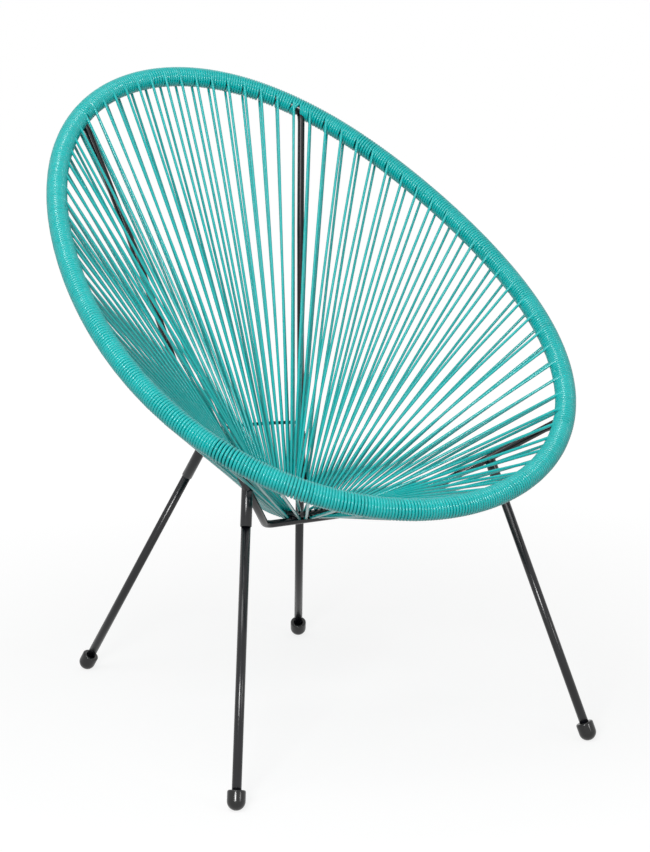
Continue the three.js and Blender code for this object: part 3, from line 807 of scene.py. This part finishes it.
names = [sector_name(station) for station in cord_station]
changes = [i for i in range(1, len(names)) if names[i] != names[i - 1]]
for start, end in zip([0] + changes, changes + [len(names)]):
    picks = np.arange(start, min(end + 1, len(names)))
    rings = cord_rings[picks]
    if end == len(names):
        rings = np.vstack([rings, cord_rings[:1]])
        picks = np.append(picks, picks[-1])
    faces = ring_faces(len(rings), CORD_SIDES)
    piece = new_piece(
        f"cord_{names[start]}", rings, faces + end_faces(len(rings), CORD_SIDES), pvc,
        [f"seat_cord_{names[start]}"], flat_faces=2,
    )
    layer = piece.data.uv_layers.new(name="cord_length")
    vertices = np.empty(len(piece.data.loops), int)
    piece.data.loops.foreach_get("vertex_index", vertices)
    ring_of, side_of = vertices // CORD_SIDES, vertices % CORD_SIDES / CORD_SIDES
    corners = np.arange(len(vertices))
    on_skin = corners < len(faces) * 4
    far_edge = np.isin(corners % 4, (1, 2))
    side_of = np.where(on_skin & far_edge & (side_of == 0), 1.0, side_of)
    layer.data.foreach_set("uv", np.stack([cord_lengths[picks][ring_of], side_of], 1).ravel())

# Floor and light
# A plain white floor under a white sky, a soft box overhead, a strong one at the left and a weak
# one at the right. Floor and sky are pure white to the camera, in reflections and through glass,
# and keep the soft shadow: the paper's own glow is less near the chair, where the lamps light it.
SKY_LEVEL = 0.38
LAMP_LEVEL = 0.45
FLOOR_GREY = 0.25
FLOOR_HALF = 60
LAMPLIGHT_NEAR = 0.5
LAMPLIGHT_FAR = 1.6
CHAIR_MIDDLE = (0, 0, 0.5)


def seen_rays(tree):
    """1 for rays from the camera, in reflections and through glass, 0 for what lights things."""
    rays = add_node(tree, "ShaderNodeLightPath")
    seen = rays.outputs["Is Camera Ray"]
    for kind in ("Is Glossy Ray", "Is Transmission Ray"):
        either = add_node(
            tree, "ShaderNodeMath", {0: seen, 1: rays.outputs[kind]}, operation="MAXIMUM",
        )
        seen = either.outputs[0]
    return seen


# Matt white paper: it lights nothing by its own glow, and takes the shadow without any shine.
paper, tree, shader = new_material("matt_white_paper")
shader.inputs["Base Color"].default_value = (FLOOR_GREY, FLOOR_GREY, FLOOR_GREY, 1)
shader.inputs["Roughness"].default_value = 0.9
shader.inputs["Specular IOR Level"].default_value = 0.0
seen = seen_rays(tree)
place = add_node(tree, "ShaderNodeTexCoord")
reach = add_node(
    tree, "ShaderNodeVectorMath", {"Vector": place.outputs["Object"]}, operation="LENGTH",
)
glow_level = add_node(
    tree, "ShaderNodeMapRange", {"Value": reach.outputs["Value"]},
    From_Min=LAMPLIGHT_NEAR, From_Max=LAMPLIGHT_FAR,
    To_Min=1 - (SKY_LEVEL + LAMP_LEVEL) * FLOOR_GREY, To_Max=1 - SKY_LEVEL * FLOOR_GREY,
)
level = add_node(
    tree, "ShaderNodeMath", {0: seen, 1: glow_level.outputs["Result"]}, operation="MULTIPLY",
)
glow = add_node(tree, "ShaderNodeEmission", {"Strength": level.outputs[0]})
both = add_node(tree, "ShaderNodeAddShader", {0: shader.outputs[0], 1: glow.outputs[0]})
tree.links.new(both.outputs[0], tree.nodes["Material Output"].inputs["Surface"])

floor_corners = [
    (x * FLOOR_HALF, y * FLOOR_HALF, 0) for x, y in ((-1, -1), (1, -1), (1, 1), (-1, 1))
]
floor_mesh = bpy.data.meshes.new("floor")
floor_mesh.from_pydata(floor_corners, [], [(0, 1, 2, 3)])
floor_mesh.materials.append(paper)
floor = bpy.data.objects.new("floor", floor_mesh)
bpy.context.collection.objects.link(floor)

world = bpy.data.worlds.new("white_sky")
bpy.context.scene.world = world
world.use_nodes = True
tree = world.node_tree
level = add_node(
    tree, "ShaderNodeMapRange", {"Value": seen_rays(tree)}, To_Min=SKY_LEVEL, To_Max=1.0,
)
tree.links.new(level.outputs["Result"], tree.nodes["Background"].inputs["Strength"])
tree.nodes["Background"].inputs["Color"].default_value = (1, 1, 1, 1)

for name, place, size, power in (
    ("overhead_box", (-0.9, -0.6, 2.5), 1.2, 17),
    ("left_box", (-2.0, -2.3, 1.3), 0.7, 44),
    ("right_box", (0.9, -2.9, 0.9), 0.5, 7),
):
    lamp = bpy.data.lights.new(name, "AREA")
    lamp.shape = "SQUARE"
    lamp.size = size
    lamp.energy = power
    holder = bpy.data.objects.new(name, lamp)
    bpy.context.collection.objects.link(holder)
    toward = unit(np.subtract(CHAIR_MIDDLE, place))
    holder.rotation_mode = "QUATERNION"
    holder.rotation_quaternion = Vector(toward).to_track_quat("-Z", "Y")
    holder.location = place
